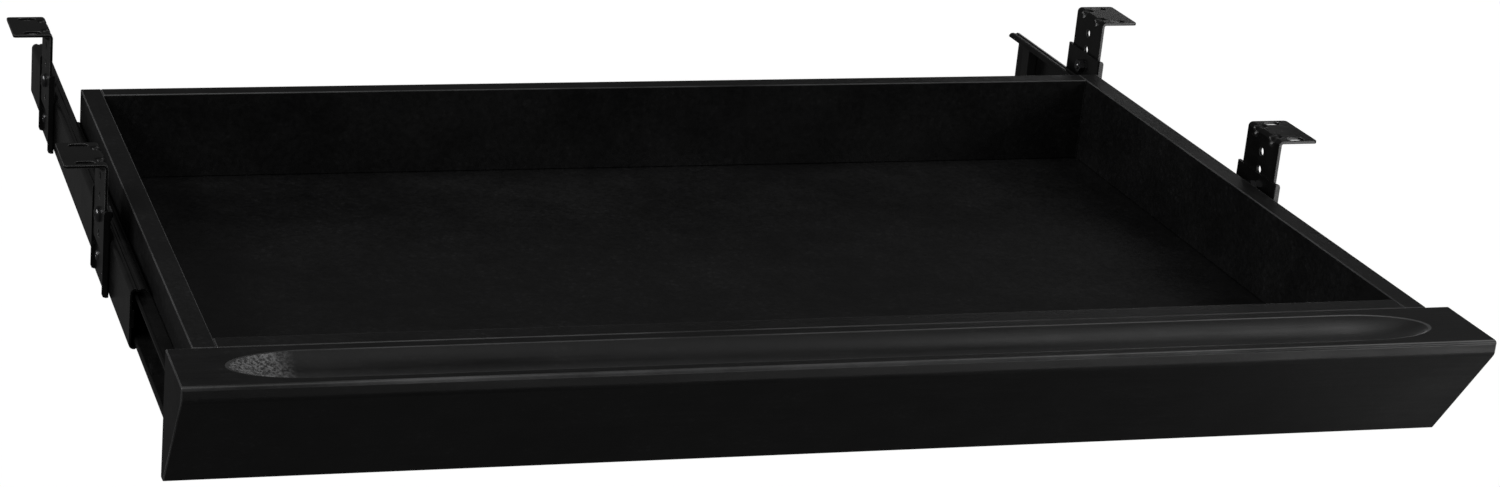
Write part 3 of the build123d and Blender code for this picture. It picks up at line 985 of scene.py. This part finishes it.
woodScrew = {
    "head": ((1.9, -2.2), (3.8, -0.15), (3.8, 0), (0, 0)),
    "radius": 1.9,
    "pitch": 1.6,
    "point": 4,
    "threadTop": -8,
}
panelScrew = {"length": 38, "twist": 23}
frontScrew = {"length": 32, "twist": 31}
screwTip = {"radius": 0.4, "rise": 0.6}


def threaded(radius, low, high, pitch, depth=0.25):
    # ridges and valleys, half a pitch apart
    count = int((high - low) / pitch * 2)
    return [(radius - depth * (step % 2), low + (high - low) * step / count) for step in range(count + 1)]


def cutCross(screw, top):
    long, wide = crossRecess["length"] / 2, crossRecess["width"] / 2
    for across, along in ((long, wide), (wide, long)):
        low = (-across, -along, top - crossRecess["depth"])
        high = (across, along, top + crossRecess["above"])
        combine(screw, addCube("recess", *scaled([low, high])))


def turnScrew(name, screw, length):
    profile = [(0, -length), (screwTip["radius"], screwTip["rise"] - length)]
    profile += threaded(screw["radius"], screw["point"] - length, screw["threadTop"], screw["pitch"])
    model = turnShape(name, scaled(profile + list(screw["head"])), 24)
    cutCross(model, screw["head"][-1][1])
    return model


def finishFasteners(model, name, places, twist, body, node):
    fasteners = placeCopies(model, name, places, twist)
    smooth(fasteners, 40)
    wear(fasteners, oxideMaterial)
    finishPiece(fasteners, body, "fastener_steel", node)


def cornerPlaces(seatX, height, offsets=(0,)):
    # one place at each hanger, or several side by side
    return [
        ((side * seatX * mm, hangerY[end] + offset, height), (side, 0, 0))
        for end in ends
        for side in sides.values()
        for offset in offsets
    ]


def makeBolts():
    thread = threaded(bolt["radius"], *bolt["thread"], bolt["pitch"], bolt["threadDepth"])
    model = turnShape("bolt", scaled(list(bolt["tail"]) + thread + list(bolt["head"])))
    cutCross(model, bolt["head"][-1][1])
    places = cornerPlaces(bolt["seatX"], bracket["boltZ"])
    finishFasteners(model, "hangerBoltSet", places, bolt["twist"], "mount_frame", "hanger_bolts")


def makeNuts():
    # a hexagon with both its faces chamfered by a turned lens, then bored
    thick = nut["thickness"]
    centre = (0, 0, thick / 2 * mm)
    model = addCylinder("nut", centre, nut["radius"] * mm, thick * mm, vertices=6)
    near = [(0, 0)] + list(nut["chamfer"])
    lens = turnShape("lens", scaled(near + [(radius, thick - height) for radius, height in reversed(near)]))
    combine(model, lens, "INTERSECT")
    drillHole(model, centre, nut["boreRadius"] * mm, "Z")
    places = cornerPlaces(nut["seatX"], bracket["boltZ"])
    finishFasteners(model, "hangerNutSet", places, nut["twist"], "mount_frame", "hanger_nuts")


def makeFasteners():
    makeBolts()
    makeNuts()
    offsets = (-bracket["rivetOffset"], bracket["rivetOffset"])
    places = cornerPlaces(rivet["seatX"], bracket["rivetZ"], offsets)
    model = turnShape("rivet", scaled(rivet["profile"]), 24)
    finishFasteners(model, "bracketRivetSet", places, 0, "mount_frame", "bracket_rivets")
    for values, name, places, node in (
        (panelScrew, "panelScrewSet", panelScrewPlaces(), "panel_screws"),
        (frontScrew, "frontScrewSet", frontScrewPlaces(), "front_screws"),
    ):
        model = turnScrew("woodScrew", woodScrew, values["length"])
        finishFasteners(model, name, places, values["twist"], "drawer", node)
    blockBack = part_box("front_block")[1].y
    seat = boxSide + innerSlide["steel"]
    for sideName, side in sides.items():
        model = turnScrew("slideScrew", slideScrew, slideScrew["length"])
        spots = [(side * seat, blockBack + offset * mm, slideZ) for offset in slideScrew["offsets"]]
        places = [(spot, (side, 0, 0)) for spot in spots]
        name, node = f"{sideName}SlideScrewSet", f"{sideName}_slide_screws"
        finishFasteners(model, name, places, slideScrew["twist"], "drawer", node)


makeFasteners()
print("fasteners made")

# stage: a wide pale bowl that only the camera sees, a dim room, and soft lamps
stage = {
    "floorDrop": 0.55,
    "radius": 9.0,
    "wall": 7.0,
    "cove": 2.5,
    "around": 96,
    "coveSteps": 10,
    "near": 0.01,
    "tone": (1.0, 1.0, 1.0),
    "strength": 1.0,
}


def makeStage():
    deselectAll()
    floorZ, wall = cadLow.z - stage["floorDrop"], stage["wall"]
    bpy.ops.mesh.primitive_cylinder_add(
        vertices=stage["around"], radius=stage["radius"], depth=wall, location=(0, 0, floorZ + wall / 2)
    )
    bowl = bpy.context.object
    bowl.name = "studioBowl"
    applyAll(bowl)
    selectWhere(bowl, "FACE", lambda face: face.calc_center_median().z > floorZ + wall - stage["near"])
    bpy.ops.mesh.delete(type="FACE")
    selectWhere(bowl, "EDGE", lambda edge: max(v.co.z for v in edge.verts) < floorZ + stage["near"])
    bpy.ops.mesh.bevel(offset=stage["cove"], segments=stage["coveSteps"])
    bpy.ops.mesh.select_all(action="SELECT")
    bpy.ops.mesh.flip_normals()
    bpy.ops.object.mode_set(mode="OBJECT")
    smooth(bowl, 60)
    material, _, shader, _ = newMaterial("paleFloor")
    shader.inputs["Base Color"].default_value = (0.0, 0.0, 0.0, 1)
    shader.inputs["Emission Color"].default_value = (*stage["tone"], 1)
    shader.inputs["Emission Strength"].default_value = stage["strength"]
    bowl.data.materials.append(material)
    bowl.visible_glossy = False
    bowl.visible_diffuse = False
    bowl.visible_shadow = False


def addLamp(name, place, aim, size, power):
    light = bpy.data.lights.new(name, "AREA")
    light.shape = "RECTANGLE"
    light.size, light.size_y = size
    light.energy = power
    lamp = bpy.data.objects.new(name, light)
    scene.collection.objects.link(lamp)
    lamp.location = place
    lamp.rotation_euler = (Vector(aim) - Vector(place)).to_track_quat("-Z", "Y").to_euler()
    lamp.visible_camera = False


room = {"tone": (0.047, 0.047, 0.047), "strength": 1.0}
# place, aim and size in metres, and power in watts
lamps = {
    "overheadLamp": ((-0.3, -0.5, 1.9), (0, -0.1, 0), (1.6, 1.0), 3.8),
    "overRightLamp": ((1.3, 0.1, 1.5), (0.2, -0.2, 0), (1.0, 1.0), 4.5),
    "frontRightLamp": ((1.8, -1.6, 0.9), (0.1, -0.3, 0), (1.0, 1.0), 7.9),
    "leftLamp": ((-1.9, -0.1, 1.15), (-0.3, -0.2, 0), (1.0, 1.0), 14.0),
    "leftSpark": ((-1.4, -0.9, 0.9), (-0.35, -0.1, -0.05), (0.4, 0.4), 4.5),
    "noseLamp": ((0.55, -1.5, -0.45), (0, -0.39, -0.03), (1.2, 0.3), 0.85),
    "lowRightLamp": ((1.3, -1.4, -0.45), (0.3, -0.39, -0.03), (0.8, 0.3), 2.9),
    "underRightLamp": ((1.0, -0.5, -0.75), (0.3, -0.38, -0.06), (0.6, 0.6), 0.3),
    "rearLamp": ((1.42, 2.08, 0.2), (-0.25, -0.37, -0.03), (0.4, 0.4), 0.45),
}


def makeLight():
    world = bpy.data.worlds.new("room")
    scene.world = world
    world.use_nodes = True
    background = world.node_tree.nodes["Background"]
    background.inputs["Color"].default_value = (*room["tone"], 1)
    background.inputs["Strength"].default_value = room["strength"]
    for name, lamp in lamps.items():
        addLamp(name, *lamp)


makeStage()
makeLight()
print("stage and lamps made")

# camera: a long lens from the front left, a little above
camera = {
    "place": (-0.603, -1.792, 0.575),
    "azimuth": 13.6,
    "elevation": 18.9,
    "roll": 3.3,
    "lens": 76.03,
    "sensor": 36,
    "shift": (0.25, -0.05),
    "clip": 60,
}


def makeCamera():
    data = bpy.data.cameras.new("camera")
    data.lens = camera["lens"]
    data.sensor_width = camera["sensor"]
    data.shift_x, data.shift_y = camera["shift"]
    data.clip_end = camera["clip"]
    azimuth, elevation, roll = (radians(camera[key]) for key in ("azimuth", "elevation", "roll"))
    ahead = Vector((sin(azimuth) * cos(elevation), cos(azimuth) * cos(elevation), -sin(elevation)))
    right = ahead.cross(Vector((0, 0, 1))).normalized()
    up = right.cross(ahead)
    rolledRight = right * cos(roll) + up * sin(roll)
    rolledUp = up * cos(roll) - right * sin(roll)
    turn = Matrix((rolledRight, rolledUp, -ahead)).transposed()
    cam = bpy.data.objects.new("camera", data)
    cam.matrix_world = Matrix.Translation(camera["place"]) @ turn.to_4x4()
    scene.collection.objects.link(cam)
    scene.camera = cam


makeCamera()
print("camera placed")
